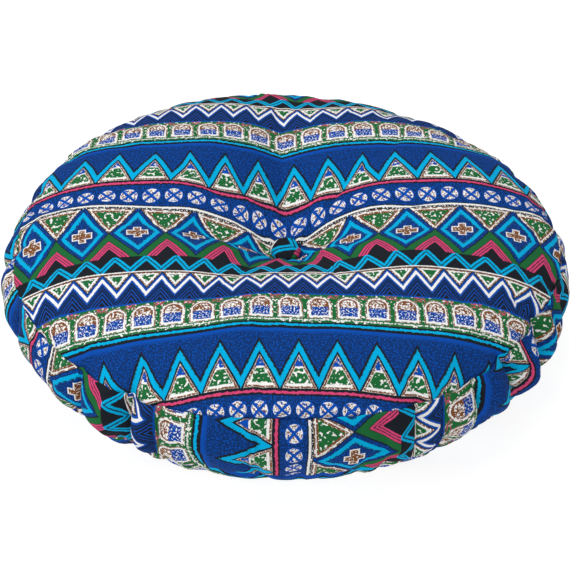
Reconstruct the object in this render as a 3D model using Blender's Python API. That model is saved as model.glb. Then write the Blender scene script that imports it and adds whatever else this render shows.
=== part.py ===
"""Round floor cushion with a tufted centre, 0.55 m across and 0.145 m tall.

Two round panels are joined by a boxing strip that is longer than the seams, so the strip gathers
into tucks. A twine pulled through the filling sinks a covered button into the middle of the top.
Metres, +Z up, the cushion lies on its underside with the origin below its centre.
Bearings are in degrees, 0 along +X, 90 along +Y (the back) and 270 at the front.
"""

import math

import bmesh
import bpy
import numpy as np

# The grid of the cover: columns around, and rings from the tuft down to the floor
COLUMNS_AROUND = 132
CROWN_SHARES = (0.0575, 0.068, 0.082, 0.10, 0.13, 0.17, 0.225, 0.295, 0.38, 0.48,
                0.59, 0.70, 0.80, 0.885, 0.95, 0.985, 1.0)
BOXING_SHARES = (0.12, 0.30, 0.50, 0.75, 1.0)
UNDER_SHARES = (0.16, 0.32, 0.43, 0.49, 0.533, 0.58, 0.70, 0.83, 0.93, 1.0)
FLOOR_SHARE = 0.6

# Crown of the top panel: it rises from the seam and flattens towards the middle
CROWN_FULLNESS = 3.18
CROWN_SHOULDER = 0.75

# Pit that the tuft pulls into the crown, with the button's level seat at its bottom
PIT_DEPTH = 0.0709
PIT_REACH = 0.0753
PIT_ROUNDING = 1.075
LEVEL_REACH = 0.153
SEAT_RADIUS = 0.0155
SEAT_HEIGHT = 0.0848
SEAT_EASE = 0.005

# Boxing strip between the seams, widest at half height, and the underside that rounds to the floor
BELLY_HEIGHT = 0.0707
UNDER_CORE = 0.1756
UNDER_FULLNESS = 1.80
UNDER_CUT = 0.878
FLOOR_EASE = 0.020
FLOOR_EASE_REACH = 0.005
LOWER_SEAM_HEIGHT = 0.033
LOWER_SEAM_DEPTH = 0.0022
LOWER_SEAM_WIDTH = 0.0035

# Sections every 30 degrees: where the upper seam runs, how far the crown stands over it,
# and how far the boxing bellies out
SECTION_NAMES = ("bearing", "seam_radius", "seam_height", "crown_rise", "belly_radius")
SECTIONS = (
    (0, 0.268, 0.099, 0.045, 0.273),
    (30, 0.267, 0.100, 0.050, 0.274),
    (60, 0.264, 0.101, 0.047, 0.274),
    (90, 0.270, 0.104, 0.039, 0.275),
    (120, 0.271, 0.107, 0.042, 0.275),
    (150, 0.270, 0.103, 0.044, 0.275),
    (180, 0.264, 0.097, 0.043, 0.275),
    (210, 0.267, 0.105, 0.048, 0.273),
    (240, 0.268, 0.102, 0.052, 0.275),
    (270, 0.267, 0.108, 0.049, 0.274),
    (300, 0.271, 0.106, 0.049, 0.276),
    (330, 0.265, 0.110, 0.049, 0.275),
)

# Creases that run out from the tuft: bearing, depth, width, and how far out they are deepest
CREASES = (
    (92, 0.018, 0.034, 0.099),
    (165, 0.012, 0.033, 0.061),
    (14, 0.011, 0.030, 0.061),
)
CREASE_SHARPNESS = 1.3
CREASE_FADES_FROM = 0.17
CREASE_FADES_OVER = 0.09

# Tucks of the boxing: bearing, depth, half width in degrees, middle height, half length, and lean
# in degrees per metre of height
TUCKS = (
    (201, 0.005, 2.2, 0.058, 0.032, 0),
    (226, 0.006, 2.0, 0.078, 0.036, 20),
    (238, 0.012, 1.8, 0.064, 0.056, 30),
    (245, 0.003, 1.6, 0.074, 0.040, 30),
    (264, 0.003, 2.0, 0.036, 0.018, -120),
    (295, 0.005, 1.8, 0.082, 0.034, 0),
    (300, 0.003, 1.6, 0.076, 0.036, 20),
    (309, 0.005, 1.8, 0.074, 0.040, -40),
    (319, 0.009, 2.0, 0.076, 0.046, -90),
    (329, 0.012, 1.8, 0.068, 0.056, 20),
    (344, 0.004, 2.0, 0.062, 0.036, 0),
    (8, 0.005, 2.2, 0.074, 0.036, 20),
    (27, 0.006, 2.2, 0.068, 0.044, -20),
    (49, 0.005, 2.0, 0.072, 0.040, 20),
    (72, 0.006, 2.2, 0.068, 0.046, 0),
    (97, 0.005, 2.0, 0.074, 0.040, -20),
    (118, 0.006, 2.2, 0.068, 0.044, 20),
    (141, 0.005, 2.2, 0.072, 0.040, 0),
    (163, 0.006, 2.0, 0.070, 0.044, -20),
    (182, 0.005, 2.0, 0.074, 0.038, 20),
)
TUCK_PUFF = 0.35
PUFF_PLACE = 2.4
TUCK_CROWDING = 1.6
CROWDING_HALF_WIDTH = 3.2
SEAM_HOLD = 0.6
SEAM_HOLD_REACH = 0.012
RIM_FOLLOWS_FROM = 0.86

# Covered button sunk in the middle of the top
BUTTON_RADIUS = 0.015
BUTTON_HEIGHT = 0.0098
BUTTON_RIM_SHARE = 0.34
BUTTON_FULLNESS = 0.7
BUTTON_GAP = 0.0003
BUTTON_COLUMNS = 32
BUTTON_RINGS = 12

# Cloth colours
COVER_BLUE = (0.030, 0.085, 0.33, 1.0)
BUTTON_BLACK = (0.022, 0.030, 0.038, 1.0)
CLOTH_ROUGHNESS = 0.85


def column(name):
    """One named column of the section table as an array."""
    return np.array([row[SECTION_NAMES.index(name)] for row in SECTIONS], float)


def around(name, bearing):
    """The section value at any bearing, a smooth closed curve through the table's rows."""
    values = column(name)
    count = len(SECTIONS)
    place = (bearing % 360.0) * count / 360.0
    first = np.floor(place).astype(int)
    share = place - first
    before, here, after, beyond = (values[(first + step) % count] for step in (-1, 0, 1, 2))
    return 0.5 * (2 * here + (after - before) * share
                  + (2 * before - 5 * here + 4 * after - beyond) * share ** 2
                  + (3 * here - before - 3 * after + beyond) * share ** 3)


def smooth(value):
    """0 below 0, 1 above 1, eased between."""
    held = np.clip(value, 0.0, 1.0)
    return held * held * (3 - 2 * held)


def levelled(name, bearing, radius):
    """A section value that comes to the mean of all the sections at the tuft."""
    mean = column(name).mean()
    return mean + (around(name, bearing) - mean) * smooth(radius / LEVEL_REACH)


def crease_depth(bearing, radius):
    """How far the creases that leave the tuft pull the crown down; they end before the seam."""
    depth = np.zeros_like(radius)
    for crease_bearing, deepest, width, peak in CREASES:
        turn = np.radians(bearing - crease_bearing)
        along = np.maximum(radius * np.cos(turn), 0.0) / peak
        aside = np.abs(radius * np.sin(turn)) / width
        depth += deepest * np.exp(-aside ** CREASE_SHARPNESS) * along * np.exp(1 - along)
    return depth * (1 - smooth((radius - CREASE_FADES_FROM) / CREASE_FADES_OVER))


def crown(bearing, share):
    """Radius and height of the top panel, from the tuft (share 0) to the upper seam (share 1)."""
    radius = share * around("seam_radius", bearing)
    rise = (1 - share ** CROWN_FULLNESS) ** CROWN_SHOULDER
    height = (levelled("seam_height", bearing, radius)
              + levelled("crown_rise", bearing, radius) * rise
              - PIT_DEPTH * np.exp(-(radius / PIT_REACH) ** PIT_ROUNDING)
              - crease_depth(bearing, radius))
    wall = smooth((radius - SEAT_RADIUS) / SEAT_EASE)
    return radius, SEAT_HEIGHT + (height - SEAT_HEIGHT) * wall


def boxing(bearing, share):
    """Radius and height of the strip from the upper seam (share 0) down to the belly (share 1)."""
    seam = around("seam_radius", bearing)
    belly = around("belly_radius", bearing)
    top = around("seam_height", bearing)
    return belly - (belly - seam) * (1 - share) ** 2, top + (BELLY_HEIGHT - top) * share


def under(bearing, share):
    """Radius and height from the belly (share 0) round to the floor (share 1), lower seam drawn in."""
    belly = around("belly_radius", bearing)
    height = BELLY_HEIGHT * (1 - share) + 0 * bearing
    turned = (1 - (share * UNDER_CUT) ** UNDER_FULLNESS) ** (1 / UNDER_FULLNESS)
    drawn = LOWER_SEAM_DEPTH * np.exp(-((height - LOWER_SEAM_HEIGHT) / LOWER_SEAM_WIDTH) ** 2)
    eased = FLOOR_EASE * np.exp(-height / FLOOR_EASE_REACH)
    return UNDER_CORE + (belly - UNDER_CORE) * turned - drawn - eased, height


def tuck_depth(bearing, height):
    """How far the tucks pull the cover in, puffed on each side and held back by the two seams."""
    depth = np.zeros_like(bearing)
    for place, deepest, half_width, middle, half_length, lean in TUCKS:
        off = (bearing - place - lean * (height - middle) + 180.0) % 360.0 - 180.0
        across = off / half_width
        reach = np.exp(-np.abs((height - middle) / half_length) ** 3)
        puff = TUCK_PUFF * np.exp(-(np.abs(across) - PUFF_PLACE) ** 2)
        depth += deepest * reach * (np.exp(-across ** 2) - puff)
    for seam_height in (around("seam_height", bearing), LOWER_SEAM_HEIGHT):
        depth *= 1 - SEAM_HOLD * np.exp(-((height - seam_height) / SEAM_HOLD_REACH) ** 2)
    return depth


def column_bearings():
    """Bearings of the grid's columns, closer together at the tucks."""
    fine = np.linspace(0.0, 360.0, 3601)
    crowding = np.ones_like(fine)
    for tuck in TUCKS:
        off = (fine - tuck[0] + 180.0) % 360.0 - 180.0
        crowding += TUCK_CROWDING * np.exp(-(off / CROWDING_HALF_WIDTH) ** 2)
    passed = np.concatenate([[0.0], np.cumsum((crowding[1:] + crowding[:-1]) / 2)])
    even = np.arange(COLUMNS_AROUND) * passed[-1] / COLUMNS_AROUND
    return np.interp(even, passed, fine)


def cover_rings(bearing):
    """Radius and height of every ring of the cover at these bearings, from the tuft down."""
    rim_pull = tuck_depth(bearing, around("seam_height", bearing))
    rings = []
    for share in CROWN_SHARES:
        radius, height = crown(bearing, share)
        follows = smooth((share - RIM_FOLLOWS_FROM) / (1 - RIM_FOLLOWS_FROM))
        rings.append((radius - rim_pull * follows, height))
    for side, shares in ((boxing, BOXING_SHARES), (under, UNDER_SHARES)):
        for share in shares:
            radius, height = side(bearing, share)
            rings.append((radius - tuck_depth(bearing, height), height))
    rings.append((rings[-1][0] * FLOOR_SHARE, 0 * bearing))
    return np.array(rings).transpose(1, 0, 2)


def material(name, colour):
    """A matt cloth material of one colour."""
    made = bpy.data.materials.new(name)
    made.use_nodes = True
    shader = made.node_tree.nodes["Principled BSDF"]
    shader.inputs["Base Color"].default_value = colour
    shader.inputs["Roughness"].default_value = CLOTH_ROUGHNESS
    shader.inputs["Metallic"].default_value = 0.0
    return made


def sphere_object(name, columns, rings, place, colour, collection):
    """A ball whose point in each ring and column is moved to place(ring, column)."""
    mesh = bpy.data.meshes.new(name)
    ball = bmesh.new()
    bmesh.ops.create_uvsphere(ball, u_segments=columns, v_segments=rings, radius=1.0)
    for point in ball.verts:
        ring = round(math.acos(max(-1.0, min(1.0, point.co.z))) / math.pi * rings)
        turn = round(math.atan2(point.co.y, point.co.x) / (2 * math.pi) * columns) % columns
        point.co = place(ring, turn)
    bmesh.ops.triangulate(ball, faces=ball.faces[:])
    bmesh.ops.recalc_face_normals(ball, faces=ball.faces[:])
    ball.to_mesh(mesh)
    ball.free()
    mesh.shade_smooth()
    mesh.materials.append(material(name + "_cloth", colour))
    made = bpy.data.objects.new(name, mesh)
    collection.objects.link(made)
    return made


def make_cushion(collection):
    """The filled cover: crown, pit, seams, gathered boxing and flat underside in one solid."""
    bearings = column_bearings()
    radius, height = cover_rings(bearings)
    last = len(radius) + 1

    def place(ring, turn):
        if ring == 0:
            return (0.0, 0.0, SEAT_HEIGHT)
        if ring == last:
            return (0.0, 0.0, 0.0)
        angle = math.radians(bearings[turn])
        out = radius[ring - 1, turn]
        return (out * math.cos(angle), out * math.sin(angle), height[ring - 1, turn])

    return sphere_object("cushion", COLUMNS_AROUND, last, place, COVER_BLUE, collection)


def make_button(collection):
    """The covered button: a shallow cup below its rim and a dome above it."""
    foot = SEAT_HEIGHT + BUTTON_GAP
    rim = BUTTON_HEIGHT * BUTTON_RIM_SHARE

    def place(ring, turn):
        fall = math.pi * ring / BUTTON_RINGS
        rise = BUTTON_HEIGHT - rim if ring <= BUTTON_RINGS // 2 else rim
        angle = 2 * math.pi * turn / BUTTON_COLUMNS
        out = BUTTON_RADIUS * math.sin(fall) ** BUTTON_FULLNESS
        return (out * math.cos(angle), out * math.sin(angle), foot + rim + rise * math.cos(fall))

    return sphere_object("tuft_button", BUTTON_COLUMNS, BUTTON_RINGS, place, BUTTON_BLACK, collection)


for old in list(bpy.data.objects):
    bpy.data.objects.remove(old, do_unlink=True)
parts = bpy.data.collections.new("round_floor_cushion")
bpy.context.scene.collection.children.link(parts)
make_cushion(parts)
make_button(parts)
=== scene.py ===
"""Looks of the round floor cushion: a filled cotton cover in a band print, and a covered button.

Metres, +Z up, the cushion lies on its underside. Bearings are in degrees, 0 along +X, 90 at the
back and 270 at the front.
"""
import math

import bpy
import numpy as np
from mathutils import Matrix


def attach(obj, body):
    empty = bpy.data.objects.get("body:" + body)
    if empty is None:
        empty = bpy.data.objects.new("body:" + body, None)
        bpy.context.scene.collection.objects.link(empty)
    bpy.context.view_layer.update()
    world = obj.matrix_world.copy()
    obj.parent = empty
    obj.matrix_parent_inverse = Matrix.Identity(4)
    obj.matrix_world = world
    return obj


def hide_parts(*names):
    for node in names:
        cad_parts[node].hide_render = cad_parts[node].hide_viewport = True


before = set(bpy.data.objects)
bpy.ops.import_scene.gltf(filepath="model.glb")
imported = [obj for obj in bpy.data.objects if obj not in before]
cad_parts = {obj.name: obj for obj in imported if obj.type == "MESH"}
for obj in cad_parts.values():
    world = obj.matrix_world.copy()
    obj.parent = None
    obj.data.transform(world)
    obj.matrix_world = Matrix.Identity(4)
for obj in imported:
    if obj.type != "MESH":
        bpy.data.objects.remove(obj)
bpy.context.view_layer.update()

# ---------------------------------------------------------------------------------------------
# Camera: a long lens looks down on the cushion from the front, a little above its middle.
# ---------------------------------------------------------------------------------------------
CAMERA_DISTANCE = 1.82
CAMERA_AIM_HEIGHT = 0.0663
CAMERA_ELEVATION = math.radians(36.80)
CAMERA_TILT = math.radians(0.444)
CAMERA_TURN = math.radians(0.028)
CAMERA_LENS_MM = 117.03
CAMERA_SENSOR_MM = 36.0

camera = bpy.data.objects.new("camera", bpy.data.cameras.new("camera"))
bpy.context.scene.collection.objects.link(camera)
camera.location = (0.0, -CAMERA_DISTANCE * math.cos(CAMERA_ELEVATION),
                   CAMERA_DISTANCE * math.sin(CAMERA_ELEVATION) + CAMERA_AIM_HEIGHT)
camera.rotation_euler = (math.pi / 2 - CAMERA_ELEVATION - CAMERA_TILT, 0.0, CAMERA_TURN)
camera.data.lens = CAMERA_LENS_MM
camera.data.sensor_width = CAMERA_SENSOR_MM
bpy.context.scene.camera = camera

# ---------------------------------------------------------------------------------------------
# Floor and light: a plain milky light table, lit through from below, under broad soft lamps, with
# white all round.
# ---------------------------------------------------------------------------------------------
FLOOR_HALF = 6.0
FLOOR_MILKY = (0.25, 0.25, 0.25, 1.0)
FLOOR_GLOW_WHITE = (1.0, 1.0, 1.0, 1.0)
FLOOR_GLOW = 0.87
FLOOR_ROUGHNESS = 0.9
SURROUND_WHITE = (1.0, 1.0, 1.0, 1.0)
SURROUND_STRENGTH = 0.51
# Lamps: name, place, point it shines at, width, watts
LAMPS = (
    ("lamp_over", (-0.35, 0.25, 2.3), (0.0, 0.0, 0.1), 1.5, 28.0),
    ("lamp_left", (-1.9, -0.9, 1.5), (0.0, 0.0, 0.1), 1.3, 13.0),
    ("lamp_front", (-0.8, -1.9, 1.8), (0.0, 0.0, 0.08), 1.4, 11.0),
)


def plain_shader(name, colour, roughness):
    """A new material of one colour, and its shader."""
    made = bpy.data.materials.new(name)
    made.use_nodes = True
    shader = made.node_tree.nodes["Principled BSDF"]
    shader.inputs["Base Color"].default_value = colour
    shader.inputs["Roughness"].default_value = roughness
    return made, shader


floor_mesh = bpy.data.meshes.new("floor")
floor_mesh.from_pydata([(-FLOOR_HALF, -FLOOR_HALF, 0.0), (FLOOR_HALF, -FLOOR_HALF, 0.0),
                        (FLOOR_HALF, FLOOR_HALF, 0.0), (-FLOOR_HALF, FLOOR_HALF, 0.0)],
                       [], [(0, 1, 2, 3)])
floor = bpy.data.objects.new("floor", floor_mesh)
bpy.context.scene.collection.objects.link(floor)
floor_white, floor_shader = plain_shader("floor_white", FLOOR_MILKY, FLOOR_ROUGHNESS)
floor_shader.inputs["Specular IOR Level"].default_value = 0.0
floor_shader.inputs["Emission Color"].default_value = FLOOR_GLOW_WHITE
floor_shader.inputs["Emission Strength"].default_value = FLOOR_GLOW
floor_mesh.materials.append(floor_white)

for lamp_name, lamp_place, lamp_target, lamp_width, lamp_watts in LAMPS:
    lamp_data = bpy.data.lights.new(lamp_name, "AREA")
    lamp_data.energy = lamp_watts
    lamp_data.size = lamp_width
    lamp = bpy.data.objects.new(lamp_name, lamp_data)
    bpy.context.scene.collection.objects.link(lamp)
    lamp.location = lamp_place
    away = np.subtract(lamp_target, lamp_place)
    lamp.rotation_euler = (math.atan2(math.hypot(away[0], away[1]), -away[2]), 0.0,
                           math.atan2(away[1], away[0]) - math.pi / 2)

surround = bpy.data.worlds.new("surround")
surround.use_nodes = True
surround.node_tree.nodes["Background"].inputs["Color"].default_value = SURROUND_WHITE
surround.node_tree.nodes["Background"].inputs["Strength"].default_value = SURROUND_STRENGTH
bpy.context.scene.world = surround
bpy.context.scene.view_settings.view_transform = "Standard"

# ---------------------------------------------------------------------------------------------
# Cover: two round panels of printed plain-weave cotton and a boxing strip that is longer than its
# seams and gathers into tucks, sewn inside out, turned and stuffed with loose fibre. A twine to
# the button pulls the middle of the top down, and sharp creases run out from it.
# ---------------------------------------------------------------------------------------------
COLUMNS_AROUND = 600
CROWN_RINGS = 97
BOXING_RINGS = 26
UNDER_RINGS = 30
FLOOR_SHARES = (0.9, 0.7, 0.45, 0.2)

CROWN_FULLNESS = 3.18
CROWN_SHOULDER = 0.75
PIT_DEPTH = 0.0709
PIT_REACH = 0.0753
PIT_ROUNDING = 1.075
LEVEL_REACH = 0.153
SEAT_RADIUS = 0.0155
SEAT_HEIGHT = 0.0848
SEAT_EASE = 0.005
SEAT_TILT = 0.17
BELLY_HEIGHT = 0.0707
UNDER_CORE = 0.1756
UNDER_FULLNESS = 1.80
UNDER_CUT = 0.878
FLOOR_EASE = 0.020
FLOOR_EASE_REACH = 0.005
LOWER_SEAM_HEIGHT = 0.033
LOWER_SEAM_DEPTH = 0.0022
LOWER_SEAM_WIDTH = 0.0035

# Sections every 30 degrees
SECTION_NAMES = ("bearing", "seam_radius", "seam_height", "crown_rise", "belly_radius")
SECTIONS = (
    (0, 0.268, 0.099, 0.045, 0.273),
    (30, 0.267, 0.100, 0.050, 0.274),
    (60, 0.264, 0.101, 0.047, 0.274),
    (90, 0.270, 0.104, 0.039, 0.275),
    (120, 0.271, 0.107, 0.042, 0.275),
    (150, 0.270, 0.103, 0.044, 0.275),
    (180, 0.264, 0.097, 0.043, 0.275),
    (210, 0.267, 0.105, 0.048, 0.273),
    (240, 0.268, 0.102, 0.052, 0.275),
    (270, 0.267, 0.108, 0.049, 0.274),
    (300, 0.271, 0.106, 0.049, 0.276),
    (330, 0.265, 0.110, 0.049, 0.275),
)
# Creases from the tuft: bearing, depth, width, and how far out they are deepest
CREASES = (
    (92, 0.018, 0.034, 0.099),
    (165, 0.012, 0.033, 0.061),
    (14, 0.011, 0.030, 0.061),
)
CREASE_SHARPNESS = 1.3
CREASE_FADES_FROM = 0.17
CREASE_FADES_OVER = 0.09
# Tucks of the boxing: bearing, depth, half width in degrees, middle height, half length, and lean
# in degrees per metre of height
TUCKS = (
    (201, 0.005, 2.2, 0.058, 0.032, 0),
    (226, 0.006, 2.0, 0.078, 0.036, 20),
    (238, 0.012, 1.8, 0.064, 0.056, 30),
    (245, 0.003, 1.6, 0.074, 0.040, 30),
    (264, 0.003, 2.0, 0.036, 0.018, -120),
    (295, 0.005, 1.8, 0.082, 0.034, 0),
    (300, 0.003, 1.6, 0.076, 0.036, 20),
    (309, 0.005, 1.8, 0.074, 0.040, -40),
    (319, 0.009, 2.0, 0.076, 0.046, -90),
    (329, 0.012, 1.8, 0.068, 0.056, 20),
    (344, 0.004, 2.0, 0.062, 0.036, 0),
    (8, 0.005, 2.2, 0.074, 0.036, 20),
    (27, 0.006, 2.2, 0.068, 0.044, -20),
    (49, 0.005, 2.0, 0.072, 0.040, 20),
    (72, 0.006, 2.2, 0.068, 0.046, 0),
    (97, 0.005, 2.0, 0.074, 0.040, -20),
    (118, 0.006, 2.2, 0.068, 0.044, 20),
    (141, 0.005, 2.2, 0.072, 0.040, 0),
    (163, 0.006, 2.0, 0.070, 0.044, -20),
    (182, 0.005, 2.0, 0.074, 0.038, 20),
)
TUCK_PUFF = 0.42
TUCK_FOLD = 0.80
TUCK_FOLD_STEEP = 0.14
TUCK_FOLD_GENTLE = 0.75
PUFF_PLACE = 2.4
TUCK_CROWDING = 1.2
CROWDING_HALF_WIDTH = 2.4
SEAM_HOLD = 0.6
SEAM_HOLD_REACH = 0.012
RIM_FOLLOWS_FROM = 0.86


def around(name, bearing):
    """The section value at any bearing, a smooth closed curve through the table's rows."""
    values = np.array([row[SECTION_NAMES.index(name)] for row in SECTIONS], float)
    count = len(SECTIONS)
    place = (bearing % 360.0) * count / 360.0
    first = np.floor(place).astype(int)
    share = place - first
    before, here, after, beyond = (values[(first + step) % count] for step in (-1, 0, 1, 2))
    return 0.5 * (2 * here + (after - before) * share
                  + (2 * before - 5 * here + 4 * after - beyond) * share ** 2
                  + (3 * here - before - 3 * after + beyond) * share ** 3)


def smooth(value):
    """0 below 0, 1 above 1, eased between."""
    held = np.clip(value, 0.0, 1.0)
    return held * held * (3 - 2 * held)


def levelled(name, bearing, radius):
    """A section value that comes to the mean of all the sections at the tuft."""
    mean = np.mean([row[SECTION_NAMES.index(name)] for row in SECTIONS])
    return mean + (around(name, bearing) - mean) * smooth(radius / LEVEL_REACH)


def crease_depth(bearing, radius):
    """Creases: depth * exp(-(aside / width) ^ sharpness), rising and falling along their length.

    They end before the upper seam.
    """
    depth = np.zeros_like(radius)
    for crease_bearing, deepest, width, peak in CREASES:
        turn = np.radians(bearing - crease_bearing)
        along = np.maximum(radius * np.cos(turn), 0.0) / peak
        aside = np.abs(radius * np.sin(turn)) / width
        depth += deepest * np.exp(-aside ** CREASE_SHARPNESS) * along * np.exp(1 - along)
    return depth * (1 - smooth((radius - CREASE_FADES_FROM) / CREASE_FADES_OVER))


def crown(bearing, share):
    """Radius and height of the top panel, from the tuft (share 0) to the upper seam (share 1)."""
    radius = share * around("seam_radius", bearing)
    rise = (1 - share ** CROWN_FULLNESS) ** CROWN_SHOULDER
    height = (levelled("seam_height", bearing, radius)
              + levelled("crown_rise", bearing, radius) * rise
              - PIT_DEPTH * np.exp(-(radius / PIT_REACH) ** PIT_ROUNDING)
              - crease_depth(bearing, radius))
    wall = smooth((radius - SEAT_RADIUS) / SEAT_EASE)
    seat = SEAT_HEIGHT + SEAT_TILT * (SEAT_RADIUS + radius * np.sin(np.radians(bearing)))
    return radius, seat + (height - seat) * wall


def boxing(bearing, share):
    """Radius and height of the strip from the upper seam (share 0) down to the belly (share 1)."""
    seam = around("seam_radius", bearing)
    belly = around("belly_radius", bearing)
    top = around("seam_height", bearing)
    return belly - (belly - seam) * (1 - share) ** 2, top + (BELLY_HEIGHT - top) * share


def under(bearing, share):
    """Radius and height from the belly (share 0) round to the floor (share 1)."""
    belly = around("belly_radius", bearing)
    height = BELLY_HEIGHT * (1 - share) + 0 * bearing
    turned = (1 - (share * UNDER_CUT) ** UNDER_FULLNESS) ** (1 / UNDER_FULLNESS)
    drawn = LOWER_SEAM_DEPTH * np.exp(-((height - LOWER_SEAM_HEIGHT) / LOWER_SEAM_WIDTH) ** 2)
    eased = FLOOR_EASE * np.exp(-height / FLOOR_EASE_REACH)
    return UNDER_CORE + (belly - UNDER_CORE) * turned - drawn - eased, height


def tuck_depth(bearing, height):
    """Tucks: a bell-shaped valley across and along, puffed beside it, held back by the seams.

    A fold lies in it: depth * exp(-distance / width), steep on one side and gentle on the other.
    """
    depth = np.zeros_like(bearing)
    for place, deepest, half_width, middle, half_length, lean in TUCKS:
        off = (bearing - place - lean * (height - middle) + 180.0) % 360.0 - 180.0
        across = off / half_width
        reach = np.exp(-np.abs((height - middle) / half_length) ** 3)
        puff = TUCK_PUFF * np.exp(-(np.abs(across) - PUFF_PLACE) ** 2)
        fold_width = np.where(across < 0, TUCK_FOLD_STEEP, TUCK_FOLD_GENTLE)
        fold = TUCK_FOLD * np.exp(-np.abs(across) / fold_width)
        depth += deepest * reach * (np.exp(-across ** 2) + fold - puff)
    for seam_height in (around("seam_height", bearing), LOWER_SEAM_HEIGHT):
        depth *= 1 - SEAM_HOLD * np.exp(-((height - seam_height) / SEAM_HOLD_REACH) ** 2)
    return depth


# Gathers along the seams: waves round the cushion, their share of the depth, and where they start.
# The strip's waves are set off from the panel's.
GATHER_WAVES = ((23, 0.30, 0.4), (37, 0.30, 2.1), (58, 0.25, 4.4), (86, 0.15, 1.2))
GATHER_POINT = 0.45
UPPER_GATHER = 0.0022
UPPER_GATHER_REACH = 0.010
UPPER_GATHER_OFFSET = 0.6
LOWER_GATHER = 0.0060
LOWER_GATHER_OFFSET = 2.0
LOWER_GATHER_REACH = 0.018
FRONT_BEARING = 274.0
FRONT_WIDTH = 22.0
FRONT_CALM = 0.85
SEAM_SINK = 0.0018
SEAM_SINK_REACH = 0.0026
# Lumps of the filling: radians per metre to the right and to the back, height, and where they start
LUMPS = (
    (38, 16, 0.0009, 0.3),
    (-22, 46, 0.0008, 1.9),
    (66, -34, 0.0006, 4.0),
    (18, 82, 0.0005, 5.2),
)
LUMP_REACH = 0.06
# Small folds round the pit: how many, depth, and where they start
PIT_FOLDS = ((7, 0.0013, 0.5), (11, 0.0010, 2.6), (16, 0.0007, 4.1))
PIT_FOLD_REACH = 0.020


def gathers(bearing, offset):
    """Sum of the waves, share * sin(waves * bearing + start), pointed, and calmer at the front."""
    angle = np.radians(bearing)
    total = sum(share * np.sin(waves * angle + start + offset)
                for waves, share, start in GATHER_WAVES)
    calm = 1 - FRONT_CALM * np.exp(-((bearing % 360.0 - FRONT_BEARING) / FRONT_WIDTH) ** 2)
    return (total - GATHER_POINT * np.abs(total)) * calm


def soft_relief(radius, bearing):
    """Height of the filling's lumps over the top, and of small folds that run out of the pit."""
    angle = np.radians(bearing)
    right, back = radius * np.cos(angle), radius * np.sin(angle)
    lumps = sum(height * np.sin(right_rate * right + back_rate * back + start)
                for right_rate, back_rate, height, start in LUMPS)
    lumps = lumps * smooth((radius - SEAT_RADIUS) / LUMP_REACH)
    out = np.maximum(radius - SEAT_RADIUS, 0.0) / PIT_FOLD_REACH
    folds = sum(depth * np.sin(count * angle + start) for count, depth, start in PIT_FOLDS)
    return lumps + folds * out * np.exp(1 - out)


# The strip is joined to itself far round on the left; columns start there and crowd at the tucks
JOIN_BEARING = 189.0
FINE_BEARINGS = 7201
fine_bearing = np.linspace(JOIN_BEARING, JOIN_BEARING + 360.0, FINE_BEARINGS)
crowding = np.ones_like(fine_bearing)
for tuck in TUCKS:
    tuck_off = (fine_bearing - tuck[0] + 180.0) % 360.0 - 180.0
    crowding += TUCK_CROWDING * np.exp(-(tuck_off / CROWDING_HALF_WIDTH) ** 2)
crowd_sum = np.concatenate([[0.0], np.cumsum((crowding[1:] + crowding[:-1]) / 2)])
bearings = np.interp(np.arange(COLUMNS_AROUND) * crowd_sum[-1] / COLUMNS_AROUND,
                     crowd_sum, fine_bearing)

# Rings: dense in the pit and where the panel turns over into the seam
TUFT_SHARE = 0.02
ENDS_CROWDING = 0.085
ENDS_AND_MIDDLE_CROWDING = 0.02
crown_steps = np.linspace(0.0, 1.0, CROWN_RINGS)
crown_shares = TUFT_SHARE + (1 - TUFT_SHARE) * (
    crown_steps - ENDS_CROWDING * np.sin(2 * np.pi * crown_steps)
    - ENDS_AND_MIDDLE_CROWDING * np.sin(4 * np.pi * crown_steps))
boxing_shares = np.linspace(0.0, 1.0, BOXING_RINGS + 1)[1:]
under_shares = np.linspace(0.0, 1.0, UNDER_RINGS + 1)[1:]
seam_share = 1 - LOWER_SEAM_HEIGHT / BELLY_HEIGHT
seam_ring = int(np.argmin(np.abs(under_shares - seam_share)))
under_shares[seam_ring] = seam_share

# Top: the panel with its lumps and folds, drawn in at the rim where a tuck pulls on the seam
rim_pull = tuck_depth(bearings, around("seam_height", bearings))
crown_radius, crown_height = crown(bearings[None], crown_shares[:, None])
follows = smooth((crown_shares[:, None] - RIM_FOLLOWS_FROM) / (1 - RIM_FOLLOWS_FROM))
top_radius = crown_radius - rim_pull * follows
seam_away = (1 - crown_shares[:, None]) * around("seam_radius", bearings)
seam_close = np.exp(-seam_away / UPPER_GATHER_REACH)
seam_sink = SEAM_SINK * np.exp(-seam_away / SEAM_SINK_REACH)
crown_fine = soft_relief(crown_radius, bearings[None]) * (1 - seam_close)
crown_fine = crown_fine + UPPER_GATHER * gathers(bearings, 0.0) * seam_close
top_radius = top_radius - seam_sink
top_height = crown_height + crown_fine - seam_sink

# Sides: strip and bottom panel, with tucks and gathers, in to a flat spot on the floor
side_rings = [boxing(bearings[None], boxing_shares[:, None]),
              under(bearings[None], under_shares[:, None])]
side_radius = np.concatenate([rings[0] for rings in side_rings])
side_height = np.concatenate([rings[1] for rings in side_rings])
side_turn = np.tile(bearings, (len(side_radius), 1))
side_drop = np.maximum(around("seam_height", side_turn) - side_height, 0.0)
side_close = np.exp(-side_drop / UPPER_GATHER_REACH)
lower_close = np.exp(-((side_height - LOWER_SEAM_HEIGHT) / LOWER_GATHER_REACH) ** 2)
side_fine = (UPPER_GATHER * gathers(side_turn, UPPER_GATHER_OFFSET) * side_close * (1 - side_close)
             + LOWER_GATHER * gathers(side_turn, LOWER_GATHER_OFFSET) * lower_close
             - SEAM_SINK * np.exp(-side_drop / SEAM_SINK_REACH))
side_radius = side_radius - tuck_depth(side_turn, side_height) + side_fine
floor_radius = side_radius[-1] * np.array(FLOOR_SHARES)[:, None]
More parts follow.
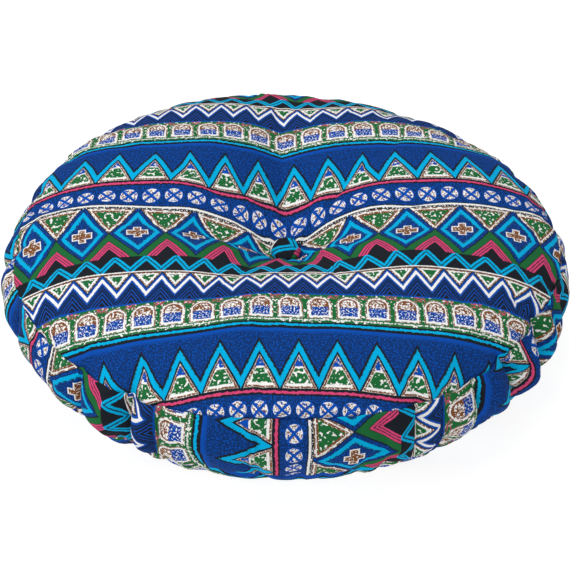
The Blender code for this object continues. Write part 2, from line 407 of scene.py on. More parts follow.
ring_radius = np.concatenate([top_radius, side_radius, floor_radius])
ring_height = np.concatenate([top_height, side_height, 0 * floor_radius])
first_strip = CROWN_RINGS - 1
first_under = first_strip + BOXING_RINGS + seam_ring + 1

# The print's lines on the panel, back to front, and the slack that the pit takes up
LINE_PLACES = (-0.300, -0.2554, -0.1857, -0.1441, -0.1012, 0.0282, 0.0614, 0.131, 0.1727, 0.2155,
               0.300)
LINE_PRINT = (0.4810, 0.4364, 0.3674, 0.3259, 0.2829, 0.1855, 0.1535, 0.0845, 0.0430, 0.0,
              -0.0845)
PIT_SLACK = 0.0099
PIT_SLACK_REACH = 0.0854
BACK_SLACK = -0.0032
BACK_SLACK_BEARING = 90.0
BACK_SLACK_WIDTH = 60.0
# Where the twine tugs the print across its bands: middle and width aside of the tuft, middle and
# width to the back of it, and how far
TUGS = (
    (0.045, 0.030, -0.025, 0.028, 0.0080),
    (0.090, 0.030, 0.010, 0.045, 0.0055),
    (0.000, 0.035, 0.030, 0.028, -0.0080),
    (0.095, 0.045, -0.105, 0.035, -0.0040),
)
PRINT_SKEW = 0.016
SKEW_FROM = 0.384
# The strip: bearing and place across the print where the photo shows the print's lines
STRIP_PLACES = (
    (189.0, -0.236), (211.5, -0.1294), (218.0, -0.0974), (234.2, -0.0194), (237.4, -0.006),
    (238.8, 0.008), (245.0, 0.0430), (253.7, 0.0845), (268.3, 0.1535), (274.5, 0.1855),
    (291.1, 0.2635), (294.4, 0.2790), (295.6, 0.2900), (299.4, 0.3120), (300.8, 0.3259),
    (309.6, 0.3674), (318.0, 0.4080), (320.0, 0.4210), (322.9, 0.4364), (327.4, 0.4600),
    (329.6, 0.4760), (337.5, 0.5060), (549.0, 1.6000),
)
STRIP_STRETCH = 0.94
STRIP_MIDDLE_HEIGHT = 0.0752
STRIP_MIDDLE_PRINT = 0.0185
UNDER_PRINT = 0.1200
TUFT_PRINT = 0.2067
# The strip is cut from another length of the cloth, so each band's motifs sit elsewhere along it:
# place across the print, and how far they are moved down the strip
STRIP_SHIFTS = (
    (0.040, 0.0), (0.045, 0.0075), (0.080, 0.0075), (0.087, 0.0045), (0.151, 0.0045),
    (0.157, 0.0015), (0.183, 0.0015), (0.190, 0.0080), (0.281, 0.0080), (0.284, 0.0130),
    (0.325, 0.0130), (0.328, 0.0030), (0.366, 0.0030), (0.370, 0.0),
)


def panel_map(radius, height, bearing):
    """Cloth place of the top panel: radius is the length along the cloth less the pit's slack."""
    steps = np.hypot(np.diff(radius, axis=0), np.diff(height, axis=0))
    length = radius[0] + np.concatenate([np.zeros((1, radius.shape[1])), np.cumsum(steps, 0)])
    taken = 1 - np.exp(-(radius / PIT_SLACK_REACH) ** 2)
    back = np.exp(-((bearing - BACK_SLACK_BEARING) / BACK_SLACK_WIDTH) ** 2)
    flat = length - taken * (PIT_SLACK + BACK_SLACK * back)
    aside, behind = flat * np.cos(np.radians(bearing)), flat * np.sin(np.radians(bearing))
    across = np.interp(behind, LINE_PLACES, LINE_PRINT)
    along = aside + PRINT_SKEW * (SKEW_FROM - across)
    for aside_middle, aside_width, behind_middle, behind_width, tug in TUGS:
        across = across + tug * np.exp(-((np.abs(aside) - aside_middle) / aside_width) ** 2
                                       - ((behind - behind_middle) / behind_width) ** 2)
    return along, across


def strip_map(radius, height, bearing):
    """Cloth place of the strip: along is the length up the cloth, across goes with the bearing."""
    steps = np.hypot(np.diff(radius, axis=0), np.diff(height, axis=0))
    length = -np.concatenate([np.zeros((1, radius.shape[1])), np.cumsum(steps, 0)])
    middle = np.argmin(np.abs(height - STRIP_MIDDLE_HEIGHT), axis=0)
    length = length - np.take_along_axis(length, middle[None], 0)
    places, prints = np.array(STRIP_PLACES).T
    across = np.interp(bearing, places, prints) + 0 * radius
    moved = np.interp(across, *np.array(STRIP_SHIFTS).T)
    return STRIP_MIDDLE_PRINT + STRIP_STRETCH * length + moved, across


def ring_points(radius, height, bearing):
    """Points at radius * (cos, sin) of the bearing, and height."""
    angle = np.radians(bearing)
    return np.stack([radius * np.cos(angle), radius * np.sin(angle), height], -1)


def grid_mesh(name, points, crown_centre, foot_centre):
    """A closed mesh through rings of columns, with a point at the middle of each end."""
    rings, columns = points.shape[:2]
    points = np.concatenate([points.reshape(-1, 3), [crown_centre, foot_centre]])
    ring, turn = np.meshgrid(np.arange(rings - 1), np.arange(columns), indexing="ij")
    after = (turn + 1) % columns
    quads = np.stack([ring * columns + turn, (ring + 1) * columns + turn,
                      (ring + 1) * columns + after, ring * columns + after], -1).reshape(-1, 4)
    turn = np.arange(columns)
    after = (turn + 1) % columns
    top = np.full(columns, rings * columns)
    lids = np.concatenate([np.stack([top, turn, after], -1),
                           np.stack([top + 1, (rings - 1) * columns + after,
                                     (rings - 1) * columns + turn], -1)])
    mesh = bpy.data.meshes.new(name)
    mesh.from_pydata(points.tolist(), [], quads.tolist() + lids.tolist())
    mesh.shade_smooth()
    made = bpy.data.objects.new(name, mesh)
    bpy.context.scene.collection.objects.link(made)
    return made


TUFT_CENTRE = (0.0, 0.0, SEAT_HEIGHT + SEAT_TILT * SEAT_RADIUS)
FOOT_CENTRE = (0.0, 0.0, 0.0)
cover_points = ring_points(ring_radius, ring_height, bearings)

# The cloth is let out a little and blown up by the filling, held at the tuft, the seams and the
# floor. What it does beyond a plain swelling, its folds, is laid on the form.
TRIAL_FRAMES = 20
TRIAL_PRESSURE = 4.0
TRIAL_SLACK = -0.04
TRIAL_QUALITY = 6
CLOTH_POINT_MASS = 0.2
CLOTH_STRETCH = 25.0
CLOTH_SHEAR = 8.0
CLOTH_BENDING = 0.05
SEAM_GRIP = 0.9
TUFT_RINGS_HELD = 3
FLOOR_TOUCH = 0.001
FOLD_CAP = 0.0026
FOLD_SPREAD = 7
TOP_FOLD_SHARE = 0.45
TOP_FOLDS_TO = 0.21
TOP_FOLDS_OVER = 0.05
FLOOR_FOLDS_OVER = 0.01


def smeared(grid, reach):
    """Mean over 2 reach + 1 neighbours along the rings and across them, done twice."""
    for _ in range(2):
        wrapped = np.concatenate([grid[:, -reach:], grid, grid[:, :reach]], 1)
        grid = sum(wrapped[:, step:step + grid.shape[1]] for step in range(2 * reach + 1))
        held = np.concatenate([grid[:1]] * reach + [grid] + [grid[-1:]] * reach)
        grid = sum(held[step:step + grid.shape[0]] for step in range(2 * reach + 1))
        grid = grid / (2 * reach + 1) ** 2
    return grid


def halved(grid):
    """Twice as fine a grid: new values lie at (9 (a + b) - (before + beyond)) / 16."""
    between = (9 * (grid + np.roll(grid, -1, 1)) - np.roll(grid, 1, 1) - np.roll(grid, -2, 1)) / 16
    fine = np.stack([grid, between], 2).reshape(grid.shape[0], -1, 3)
    held = np.concatenate([fine[:1], fine, fine[-1:]])
    between = (9 * (held[1:-2] + held[2:-1]) - held[:-3] - held[3:]) / 16
    woven = np.stack([fine[:-1], between], 1).reshape(-1, fine.shape[1], 3)
    return np.concatenate([woven, fine[-1:]])


start = cover_points[::2, ::2]
trial = grid_mesh("cloth_trial", start, TUFT_CENTRE, FOOT_CENTRE)
grip = np.zeros(start.shape[:2])
grip[ring_height[::2, ::2] < FLOOR_TOUCH] = 1.0
grip[:TUFT_RINGS_HELD] = 1.0
grip[[first_strip // 2, first_under // 2]] = SEAM_GRIP
hold = trial.vertex_groups.new(name="hold")
for weight in np.unique(grip[grip > 0]):
    hold.add(np.flatnonzero(grip.ravel() == weight).tolist(), float(weight), "REPLACE")
hold.add([grip.size, grip.size + 1], 1.0, "REPLACE")
blown = trial.modifiers.new("blown", "CLOTH")
blown.settings.quality = TRIAL_QUALITY
blown.settings.mass = CLOTH_POINT_MASS
blown.settings.tension_stiffness = CLOTH_STRETCH
blown.settings.compression_stiffness = CLOTH_STRETCH
blown.settings.shear_stiffness = CLOTH_SHEAR
blown.settings.bending_stiffness = CLOTH_BENDING
blown.settings.shrink_min = TRIAL_SLACK
blown.settings.use_pressure = True
blown.settings.uniform_pressure_force = TRIAL_PRESSURE
blown.settings.effector_weights.gravity = 0.0
blown.settings.vertex_group_mass = "hold"
blown.collision_settings.use_collision = False
blown.point_cache.frame_start = 1
blown.point_cache.frame_end = TRIAL_FRAMES
for frame_number in range(1, TRIAL_FRAMES + 1):
    bpy.context.scene.frame_set(frame_number)
settled = trial.evaluated_get(bpy.context.evaluated_depsgraph_get()).to_mesh()
found = np.zeros(len(settled.vertices) * 3, np.float32)
settled.vertices.foreach_get("co", found)
swell = found.reshape(-1, 3)[:start.shape[0] * start.shape[1]].reshape(start.shape) - start
bpy.data.objects.remove(trial)
bpy.context.scene.frame_set(1)
folds = swell - smeared(swell, FOLD_SPREAD)
length = np.linalg.norm(folds, axis=-1, keepdims=True)
folds = folds * np.tanh(length / FOLD_CAP) * FOLD_CAP / np.maximum(length, 1e-9)
strength = smooth(ring_height / FLOOR_FOLDS_OVER) * (
    TOP_FOLD_SHARE
    + (1 - TOP_FOLD_SHARE) * smooth((ring_radius - TOP_FOLDS_TO) / TOP_FOLDS_OVER))
cover_points = cover_points + halved(folds) * strength[..., None]

cover = grid_mesh("cover", cover_points, TUFT_CENTRE, FOOT_CENTRE)

# Cloth places: one value for each corner of each face, so that the print can break at the seams
edge_bearings = np.append(bearings, JOIN_BEARING + 360.0)


def once_round(grid):
    """The grid with its first column again at the end, where the strip meets itself."""
    return np.concatenate([grid, grid[:, :1]], 1)


edge_radius, edge_height = once_round(ring_radius), once_round(ring_height)
panel_rows = slice(0, first_strip + 1)
strip_rows = slice(first_strip, first_under + 1)
panel_along, panel_across = panel_map(once_round(crown_radius), edge_height[panel_rows],
                                      edge_bearings[None])
strip_along, strip_across = strip_map(edge_radius[strip_rows], edge_height[strip_rows],
                                      edge_bearings[None])
under_angle = np.radians(edge_bearings)
under_along = edge_radius[first_under:] * np.cos(under_angle)
under_across = UNDER_PRINT - edge_radius[first_under:] * np.sin(under_angle)


def corner_places(along, across):
    """The four corner places of every face of a part of the grid, in the faces' order."""
    both = np.stack([along, across], -1)
    return np.stack([both[:-1, :-1], both[1:, :-1], both[1:, 1:], both[:-1, 1:]], 2).reshape(-1, 2)


tuft_place = np.array([PRINT_SKEW * (SKEW_FROM - TUFT_PRINT), TUFT_PRINT])
foot_place = np.array([0.0, UNDER_PRINT])
top_lid = np.stack([np.broadcast_to(tuft_place, (COLUMNS_AROUND, 2)),
                    np.stack([panel_along[0, :-1], panel_across[0, :-1]], -1),
                    np.stack([panel_along[0, 1:], panel_across[0, 1:]], -1)], 1).reshape(-1, 2)
foot_lid = np.stack([np.broadcast_to(foot_place, (COLUMNS_AROUND, 2)),
                     np.stack([under_along[-1, 1:], under_across[-1, 1:]], -1),
                     np.stack([under_along[-1, :-1], under_across[-1, :-1]], -1)],
                    1).reshape(-1, 2)
cloth_map = cover.data.uv_layers.new(name="cloth_place")
cloth_map.data.foreach_set("uv", np.concatenate([
    corner_places(panel_along, panel_across), corner_places(strip_along, strip_across),
    corner_places(under_along, under_across), top_lid, foot_lid]).ravel().astype(np.float32))

# Colours of the print
ROYAL_BLUE = (0.004, 0.066, 0.37, 1.0)
NAVY = (0.006, 0.030, 0.125, 1.0)
TEAL = (0.001, 0.36, 0.64, 1.0)
GREEN = (0.014, 0.125, 0.036, 1.0)
PINK = (0.59, 0.058, 0.165, 1.0)
WHITE = (0.76, 0.755, 0.735, 1.0)
BROWN = (0.18, 0.062, 0.018, 1.0)
BLACK = (0.012, 0.015, 0.020, 1.0)

# The design, in millimetres: where each band starts across the print, from one row line to the
# next, and the pitch and place of its motifs along the band. The numbers in the drawing functions
# below are millimetres too. Those set against fleck and scrawl, noise around 0.5, say how much of
# a colour the mask lets through.
REPEAT = 282.9
TOOTHED_FROM = 1.0
ARCHED_FROM = 43.0
ARCHED_TO = 80.2
SPIRED_FROM = 88.4
SPIRED_TO = 150.6
DISCS_FROM = 157.0
DIAMONDS_FROM = 186.8
NIGHT_FROM = 263.5
ROW_LINE_FROM = 281.6
TOOTH_PITCH = 26.8
TOOTH_PLACE = -8.9
TOOTH_RISE = 22.4
TOOTH_FOOT = 8.0
ARCH_PLACE = 4.8
ARCH_RADIUS = 11.3
ARCH_SPRINGING = 57.0
ARCH_FOOT = 74.6
SPIRE_PITCH = 35.4
SPIRE_PLACE = 11.9
SPIRE_RISE = 36.7
SPIRE_TIP = 108.7
DISC_PITCH = 20.7
DISC_PLACE = -3.9
DISC_MIDDLE = 170.0
DISC_RADIUS = 7.9
DIAMOND_PITCH = 51.4
DIAMOND_PLACE = 16.35
DIAMOND_MIDDLE = 223.0
DIAMOND_HALF_HEIGHT = 38.5
NIGHT_PLACE = 2.8
NIGHT_RISE = 15.2
NIGHT_FOOT = 265.4
NIGHT_SLOPE = 0.66


class Reading:
    """A number worked out on the cloth by nodes. Arithmetic on it adds Math nodes."""

    def __init__(self, tree, socket):
        """A reading is one output socket of the material's tree."""
        self.tree = tree
        self.socket = socket

    def reckon(self, kind, *others, held=False):
        """One Math node of this kind on this reading and others, kept within 0 and 1 if held."""
        node = self.tree.nodes.new("ShaderNodeMath")
        node.operation = kind
        node.use_clamp = held
        self.tree.links.new(self.socket, node.inputs[0])
        for socket, other in zip(node.inputs[1:], others):
            if isinstance(other, Reading):
                self.tree.links.new(other.socket, socket)
            else:
                socket.default_value = other
        return Reading(self.tree, node.outputs[0])

    def __add__(self, other):
        """This plus a number or a reading."""
        return self.reckon("ADD", other)

    def __sub__(self, other):
        """This less a number or a reading."""
        return self.reckon("SUBTRACT", other)

    def __mul__(self, other):
        """This times a number or a reading."""
        return self.reckon("MULTIPLY", other)

    def __rsub__(self, number):
        """A number less this."""
        return self.reckon("MULTIPLY_ADD", -1.0, number)

    def __abs__(self):
        """This without its sign."""
        return self.reckon("ABSOLUTE")

    def scaled(self, factor, offset):
        """factor times this, plus offset."""
        return self.reckon("MULTIPLY_ADD", factor, offset)

    def least(self, other):
        """The smaller of the two."""
        return self.reckon("MINIMUM", other)

    def most(self, other):
        """The larger of the two."""
        return self.reckon("MAXIMUM", other)

    def over(self, edge, softness=0.35):
        """1 above the edge and 0 below it, soft over a few tenths of a millimetre."""
        return self.reckon("MULTIPLY_ADD", 1 / softness, 0.5 - edge / softness, held=True)

    def below(self, edge, softness=0.35):
        """1 below the edge and 0 above it."""
        return self.reckon("MULTIPLY_ADD", -1 / softness, 0.5 + edge / softness, held=True)

    def between(self, low, high, softness=0.35):
        """1 between two edges."""
        return abs(self - (low + high) / 2).below((high - low) / 2, softness)

    def swing(self, pitch, place):
        """0 at a place and every pitch from it, 1 half way between, straight in between."""
        return self.scaled(2 / pitch, -2 * place / pitch).reckon("PINGPONG", 1.0)


class Painting:
    """A colour that is painted over in turn, each coat where its mask is 1."""

    def __init__(self, tree, ground):
        """The ground is the bare cloth's colour, seen where no coat is."""
        self.tree = tree
        self.ground = ground
        self.socket = None

    def coat(self, colour, mask):
        """One more coat, a colour or another painting, where the mask reading is 1."""
        node = self.tree.nodes.new("ShaderNodeMix")
        node.data_type = "RGBA"
        self.tree.links.new(mask.socket, node.inputs[0])
        if self.socket is None:
            node.inputs[6].default_value = self.ground
        else:
            self.tree.links.new(self.socket, node.inputs[6])
        if isinstance(colour, Painting):
            self.tree.links.new(colour.socket, node.inputs[7])
        else:
            node.inputs[7].default_value = colour
        self.socket = node.outputs[2]


def noise(tree, place, scale, detail=1.0):
    """Node noise over the cloth: its value and its three colour channels as readings."""
    node = tree.nodes.new("ShaderNodeTexNoise")
    node.noise_dimensions = "2D"
    node.inputs["Scale"].default_value = scale
    node.inputs["Detail"].default_value = detail
    tree.links.new(place, node.inputs["Vector"])
    parts = tree.nodes.new("ShaderNodeSeparateColor")
    tree.links.new(node.outputs["Color"], parts.inputs[0])
    return Reading(tree, node.outputs["Fac"]), [Reading(tree, out) for out in parts.outputs]


def toothed_band(tree, along, across, fleck, scrawl):
    """Row of inverted triangles, white zigzag with blue edges, and nested dark chevrons."""
    swing = along.swing(TOOTH_PITCH, TOOTH_PLACE)
    fall = across - swing.scaled(TOOTH_RISE, TOOTH_FOOT)
    band = Painting(tree, NAVY)
    band.coat(BLACK, fall.between(12.0, 40.0, 0.8))
    for line in (14.4, 19.6, 25.4):
        band.coat(ROYAL_BLUE, fall.between(line, line + 2.0, 0.8))
    band.coat(BLACK, fall.between(-8.4, 8.0, 0.8))
    band.coat(ROYAL_BLUE, fall.between(-6.4, 6.4, 0.8))
    band.coat(WHITE, fall.between(-2.7, 2.7, 0.8))
    inset = fall.scaled(-0.44, -3.5).least(across - 1.4)
    band.coat(BLACK, inset.over(-0.4))
    band.coat(WHITE, inset.over(0.3))
    band.coat(BROWN, inset.between(0.2, 1.3) * fleck.over(0.42, 0.04))
    band.coat(GREEN, inset.over(2.9) * scrawl.below(0.63, 0.02))
    band.coat(ROYAL_BLUE, across.over(41.2))
    return band


def arched_band(tree, along, across, fleck, scrawl, ridge):
    """Arches on a flecked green ground: white border, brown outline, blue scrawl in the foot."""
    aside = along.swing(TOOTH_PITCH, ARCH_PLACE) * (TOOTH_PITCH / 2)
    band = Painting(tree, GREEN)
    band.coat(WHITE, scrawl.over(0.65, 0.02))
    band.coat(PINK, across.below(48.5, 1.5) * aside.over(8.5, 1.5) * fleck.over(0.55, 0.04))
    band.coat(WHITE, across.between(76.2, 77.8) * fleck.over(0.45, 0.05))
    lift = (ARCH_SPRINGING - across).most(0.0)
    round_off = (aside * aside + lift * lift).reckon("SQRT")
    inset = (ARCH_RADIUS - round_off).least(ARCH_FOOT - across)
    band.coat(WHITE, inset.over(0.0))
    band.coat(BROWN, inset.between(0.0, 1.1) * scrawl.over(0.46, 0.04))
    band.coat(BROWN, inset.between(2.4, 4.4) * across.below(64.0, 1.0) * fleck.over(0.38, 0.04))
    band.coat(BROWN, inset.over(3.0) * across.below(61.0, 1.0) * ridge.below(0.085, 0.03))
    scrawled = inset.over(3.2) * across.over(60.0, 0.6)
    band.coat(ROYAL_BLUE, scrawled * fleck.below(0.62, 0.04))
    band.coat(NAVY, scrawled * fleck.below(0.38, 0.04))
    return band


def spired_band(tree, along, across, fleck, scrawl):
    """Royal-blue field, teal zigzag, and under it white triangles with a scrawled middle."""
    swing = along.swing(SPIRE_PITCH, SPIRE_PLACE)
    fall = across - swing.scaled(SPIRE_RISE, SPIRE_TIP)
    band = Painting(tree, ROYAL_BLUE)
    band.coat(NAVY, fleck.over(0.43, 0.07) * across.over(92.5, 4.0))
    band.coat(BLACK, fall.over(-9.6, 0.9))
    inset = fall.scaled(0.434, -4.0).least(150.2 - across)
    band.coat(WHITE, inset.over(0.0))
    band.coat(BROWN, inset.between(0.2, 2.0) * fleck.over(0.38, 0.04))
    band.coat(ROYAL_BLUE, inset.over(0.9) * across.below(129.6, 0.6) * scrawl.below(0.62, 0.04))
    green_rim = inset.over(2.4) * across.between(131.4, 145.8, 0.6)
    band.coat(GREEN, green_rim * scrawl.below(0.61, 0.02))
    dashes = fall.between(-5.4, -3.6, 0.9) * fleck.below(0.45, 0.04)
    band.coat(TEAL, fall.between(-5.2, 5.2, 0.9) * across.below(SPIRED_TO))
    band.coat(BLACK, dashes * across.below(148.0))
    return band


def disc_band(tree, along, across, fleck, scrawl):
    """Navy band of white discs, each with a blue cross and small brown marks."""
    aside = along.scaled(1 / DISC_PITCH, 0.5 - DISC_PLACE / DISC_PITCH).reckon("FRACT")
    aside = aside.scaled(DISC_PITCH, -DISC_PITCH / 2)
    rise = across - DISC_MIDDLE
    out = (aside * aside + rise * rise).reckon("SQRT")
    band = Painting(tree, NAVY)
    band.coat(ROYAL_BLUE, fleck.over(0.57, 0.05))
    band.coat(ROYAL_BLUE, out.between(7.6, 8.8))
    band.coat(WHITE, out.below(DISC_RADIUS))
    band.coat(BROWN, out.between(2.4, 7.3) * fleck.below(0.46, 0.03))
    cross = abs(aside - rise).least(abs(aside + rise)).below(1.9)
    band.coat(ROYAL_BLUE, cross * out.below(8.2))
    band.coat(ROYAL_BLUE, out.below(7.6) * scrawl.over(0.64, 0.03))
    band.coat(BLACK, across.over(182.4))
    band.coat(WHITE, across.between(183.6, 185.9))
    return band


def diamond_band(tree, along, across, fleck, scrawl):
    """Navy diamonds with a teal outline and a brown cross, between triangles and chevrons."""
    aside = along.swing(DIAMOND_PITCH, DIAMOND_PLACE) * (DIAMOND_PITCH / 2)
    rise = across - DIAMOND_MIDDLE
    reach = abs(rise) * (1 / DIAMOND_HALF_HEIGHT) + aside * (2 / DIAMOND_PITCH)
    band = Painting(tree, NAVY)
    band.coat(ROYAL_BLUE, fleck.over(0.57, 0.05))
    band.coat(TEAL, reach.between(0.60, 0.81, 0.012))
    band.coat(BLACK, reach.between(0.60, 0.645, 0.012) * fleck.over(0.47, 0.04))
    arms = (8.6 - abs(rise)).least(3.2 - aside).most((9.4 - aside).least(3.8 - abs(rise)))
    band.coat(WHITE, arms.over(-0.5))
    band.coat(BROWN, arms.over(0.6) * fleck.over(0.36, 0.04))
    beyond = reach.scaled(21.3, -21.3)
    band.coat(BLACK, beyond.over(-0.6))
    inset = beyond.least(across - 188.0)
    upper = Painting(tree, BLACK)
    upper.coat(WHITE, inset.over(0.4))
    upper.coat(BROWN, inset.between(0.4, 1.6) * scrawl.over(0.47, 0.04))
    upper.coat(BROWN, inset.between(2.6, 5.0) * fleck.over(0.35, 0.04))
    upper.coat(GREEN, inset.over(4.6) * scrawl.below(0.62, 0.02))
    lower = Painting(tree, BLACK)
    lower.coat(GREEN, beyond.between(0.5, 6.6))
    lower.coat(PINK, beyond.between(7.2, 9.2))
    lower.coat(PINK, beyond.between(10.0, 11.6))
    lower.coat(PINK, beyond.between(12.4, 14.2))
    band.coat(lower, beyond.over(0.0) * rise.over(0.0))
    band.coat(upper, beyond.over(0.0) * rise.below(0.0))
    return band


def night_band(tree, along, across):
    """Black band with a double teal zigzag."""
    swing = along.swing(TOOTH_PITCH, NIGHT_PLACE)
    fall = (across - swing.scaled(NIGHT_RISE, NIGHT_FOOT)) * NIGHT_SLOPE
    band = Painting(tree, BLACK)
    band.coat(TEAL, abs(fall).between(0.55, 2.7))
    return band


# The unsteady hand: noise scales for each millimetre, and how far it strays, all told
WANDER_SCALE, WANDER_ALONG, WANDER_ACROSS = 0.014, 3.6, 2.0
FLECK_SCALE, SHIVER_ALONG, SHIVER_ACROSS = 0.62, 1.0, 0.8
SCRAWL_SCALE, SCRAWL_DETAIL, LINE_STRAYS = 0.30, 1.2, 2.4
# The weave: threads in millimetres, and how much they, the slubs and the rumples do
THREAD_PITCH = 0.95
SLUB_SCALE, RUMPLE_SCALE, THREAD_DETAIL = 1.1, 0.09, 2.0
WEAVE_TONE, SLUB_TONE, PLAIN_TONE = 0.05, 0.60, 0.70
SLUB_ROUGHNESS, PLAIN_ROUGHNESS = 0.16, 0.76
WEAVE_RELIEF, SLUB_RELIEF = 0.03, 0.10
BUMP_STRENGTH, BUMP_DISTANCE = 0.5, 0.0012
SHEEN, SHEEN_ROUGHNESS, SHINE = 0.008, 0.5, 0.02


def print_cloth(name, map_name, painted_shade):
    """The printed cotton: bands by place across the print, drawn unsteadily, in a plain weave."""
    made, shader = plain_shader(name, ROYAL_BLUE, PLAIN_ROUGHNESS)
    tree = made.node_tree
    uv = tree.nodes.new("ShaderNodeUVMap")
    uv.uv_map = map_name
    mm = tree.nodes.new("ShaderNodeVectorMath")
    mm.operation = "SCALE"
    mm.inputs["Scale"].default_value = 1000.0
    tree.links.new(uv.outputs[0], mm.inputs[0])
    split = tree.nodes.new("ShaderNodeSeparateXYZ")
    tree.links.new(mm.outputs[0], split.inputs[0])
    along, across = (Reading(tree, split.outputs[axis]) for axis in (0, 1))
    wander = noise(tree, mm.outputs[0], WANDER_SCALE)[1]
    fleck, shiver = noise(tree, mm.outputs[0], FLECK_SCALE)
    scrawl, jitter = noise(tree, mm.outputs[0], SCRAWL_SCALE, SCRAWL_DETAIL)
    ridge = abs(jitter[0] - 0.5)
    along = (along + wander[0].scaled(WANDER_ALONG, -WANDER_ALONG / 2)
             + shiver[1].scaled(SHIVER_ALONG, -SHIVER_ALONG / 2))
    across = (across + wander[1].scaled(WANDER_ACROSS, -WANDER_ACROSS / 2)
              + shiver[2].scaled(SHIVER_ACROSS, -SHIVER_ACROSS / 2))
    uneven = across + jitter[1].scaled(LINE_STRAYS, -LINE_STRAYS / 2)
    across = across.reckon("FLOORED_MODULO", REPEAT)
    uneven = uneven.reckon("FLOORED_MODULO", REPEAT)

    cloth = Painting(tree, BLACK)
    cloth.coat(toothed_band(tree, along, across, fleck, scrawl), across.over(TOOTHED_FROM))
    cloth.coat(BROWN, across.below(1.4) * fleck.over(0.47, 0.04))
    cloth.coat(arched_band(tree, along, across, fleck, scrawl, ridge),
               across.over(ARCHED_FROM))
    cloth.coat(BLACK, across.over(ARCHED_TO))
    cloth.coat(spired_band(tree, along, across, fleck, scrawl), across.over(SPIRED_FROM))
    cloth.coat(TEAL, uneven.between(82.4, 85.1))
    cloth.coat(BLACK, across.over(SPIRED_TO))
    cloth.coat(disc_band(tree, along, across, fleck, scrawl), across.over(DISCS_FROM))
    cloth.coat(PINK, uneven.between(152.8, 155.2))
    cloth.coat(diamond_band(tree, along, across, fleck, scrawl),
               across.over(DIAMONDS_FROM))
    cloth.coat(WHITE, across.between(185.8, 188.0) * fleck.over(0.60, 0.05))
    cloth.coat(night_band(tree, along, across), across.over(NIGHT_FROM))
    cloth.coat(WHITE, across.over(ROW_LINE_FROM))

    # Weave: over-and-under threads that catch the light and break the colour a little
    threads = []
    for axis in (0, 1):
        pick = Reading(tree, split.outputs[axis]) * (2 * math.pi / THREAD_PITCH)
        threads.append(pick.reckon("SINE"))
    weave = threads[0] * threads[1]
    slub = noise(tree, mm.outputs[0], SLUB_SCALE, THREAD_DETAIL)[0]
    # The whole cloth is multiplied by the last argument: painted shade, 1 on the cover and 0.9 on
    # the button
    tone = (weave * WEAVE_TONE + slub.scaled(SLUB_TONE, PLAIN_TONE)) * painted_shade
    tinted = tree.nodes.new("ShaderNodeVectorMath")
    tinted.operation = "SCALE"
    tree.links.new(cloth.socket, tinted.inputs[0])
    tree.links.new(tone.socket, tinted.inputs["Scale"])
    tree.links.new(tinted.outputs[0], shader.inputs["Base Color"])
    rough = slub.scaled(SLUB_ROUGHNESS, PLAIN_ROUGHNESS)
    tree.links.new(rough.socket, shader.inputs["Roughness"])
    shader.inputs["Sheen Weight"].default_value = SHEEN
    shader.inputs["Sheen Roughness"].default_value = SHEEN_ROUGHNESS
    shader.inputs["Specular IOR Level"].default_value = SHINE
    rumple = noise(tree, mm.outputs[0], RUMPLE_SCALE, THREAD_DETAIL)[0]
    bump = tree.nodes.new("ShaderNodeBump")
    bump.inputs["Strength"].default_value = BUMP_STRENGTH
    bump.inputs["Distance"].default_value = BUMP_DISTANCE
    relief = rumple + weave * WEAVE_RELIEF + slub * SLUB_RELIEF
    tree.links.new(relief.socket, bump.inputs["Height"])
    tree.links.new(bump.outputs[0], shader.inputs["Normal"])
    return made


cover.data.materials.append(print_cloth("cover_cloth", "cloth_place", 1.0))
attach(cover, "root")
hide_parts("cushion")

# ---------------------------------------------------------------------------------------------
# Button: a domed mould covered in a scrap of the same cotton, its edge gathered underneath.
# The twine through the filling pulls it down on its seat in the pit.
# ---------------------------------------------------------------------------------------------
BUTTON_RADIUS = 0.015
BUTTON_HEIGHT = 0.0098
BUTTON_RIM_SHARE = 0.34
BUTTON_FULLNESS = 0.7
BUTTON_GAP = 0.0003
BUTTON_COLUMNS = 96
BUTTON_RINGS = 30
BUTTON_PLEATS = 14
PLEAT_DEPTH = 0.0005
PLEATS_FROM = 1.1
PLEATS_OVER = 0.6
# The scrap: how it is turned, which place of the print is on top, and how far it is stretched
BUTTON_PRINT_TURN = math.radians(150.0)
BUTTON_PRINT_ALONG = 0.006
BUTTON_PRINT_ACROSS = 0.2725
BUTTON_PRINT_STRETCH = 0.8

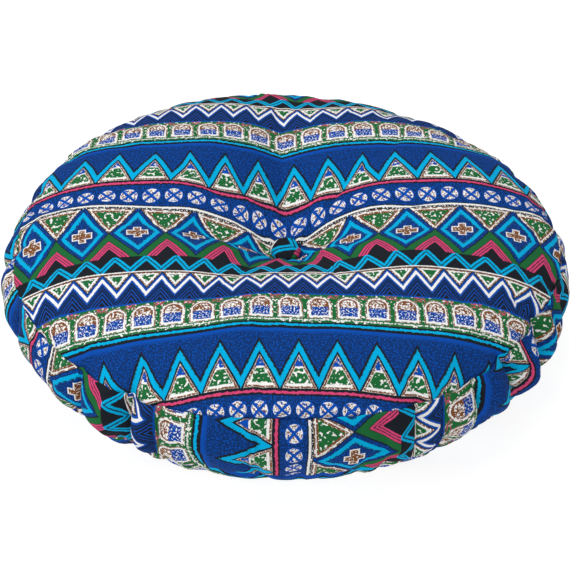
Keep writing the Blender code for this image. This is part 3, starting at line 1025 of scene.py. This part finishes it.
fall_angle = np.linspace(0.0, math.pi, BUTTON_RINGS + 2)[1:-1, None]
button_bearings = np.arange(BUTTON_COLUMNS) * 360.0 / BUTTON_COLUMNS
rim_height = BUTTON_HEIGHT * BUTTON_RIM_SHARE
gathered = smooth((fall_angle - PLEATS_FROM) / PLEATS_OVER)
pleats = PLEAT_DEPTH * gathered * (1 - np.cos(np.radians(button_bearings) * BUTTON_PLEATS)) / 2
button_radius = BUTTON_RADIUS * np.sin(fall_angle) ** BUTTON_FULLNESS - pleats
button_rise = np.where(fall_angle <= math.pi / 2, BUTTON_HEIGHT - rim_height, rim_height)
button_height = (SEAT_HEIGHT + BUTTON_GAP + rim_height + button_rise * np.cos(fall_angle)
                 + 0 * button_radius)
button_height = button_height + SEAT_TILT * (
    SEAT_RADIUS + button_radius * np.sin(np.radians(button_bearings)))
button_foot = SEAT_HEIGHT + SEAT_TILT * SEAT_RADIUS + BUTTON_GAP
button = grid_mesh("button", ring_points(button_radius, button_height, button_bearings),
                   (0.0, 0.0, button_foot + BUTTON_HEIGHT), (0.0, 0.0, button_foot))
button_points = np.zeros(len(button.data.vertices) * 3, np.float32)
button.data.vertices.foreach_get("co", button_points)
button_points = button_points.reshape(-1, 3)
corner_point = np.zeros(len(button.data.loops), np.int32)
button.data.loops.foreach_get("vertex_index", corner_point)
turn_cos, turn_sin = math.cos(BUTTON_PRINT_TURN), math.sin(BUTTON_PRINT_TURN)
button_across = BUTTON_PRINT_ACROSS + BUTTON_PRINT_STRETCH * (
    button_points[:, 0] * turn_cos + button_points[:, 1] * turn_sin)
button_along = BUTTON_PRINT_ALONG + BUTTON_PRINT_STRETCH * (
    button_points[:, 1] * turn_cos - button_points[:, 0] * turn_sin)
button_map = button.data.uv_layers.new(name="cloth_place")
button_map.data.foreach_set(
    "uv", np.stack([button_along, button_across], -1)[corner_point].ravel().astype(np.float32))
# The button's copy of the same cotton is painted a tenth darker: painted shade
button.data.materials.append(print_cloth("button_cloth", "cloth_place", 0.9))
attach(button, "root")
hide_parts("tuft_button")
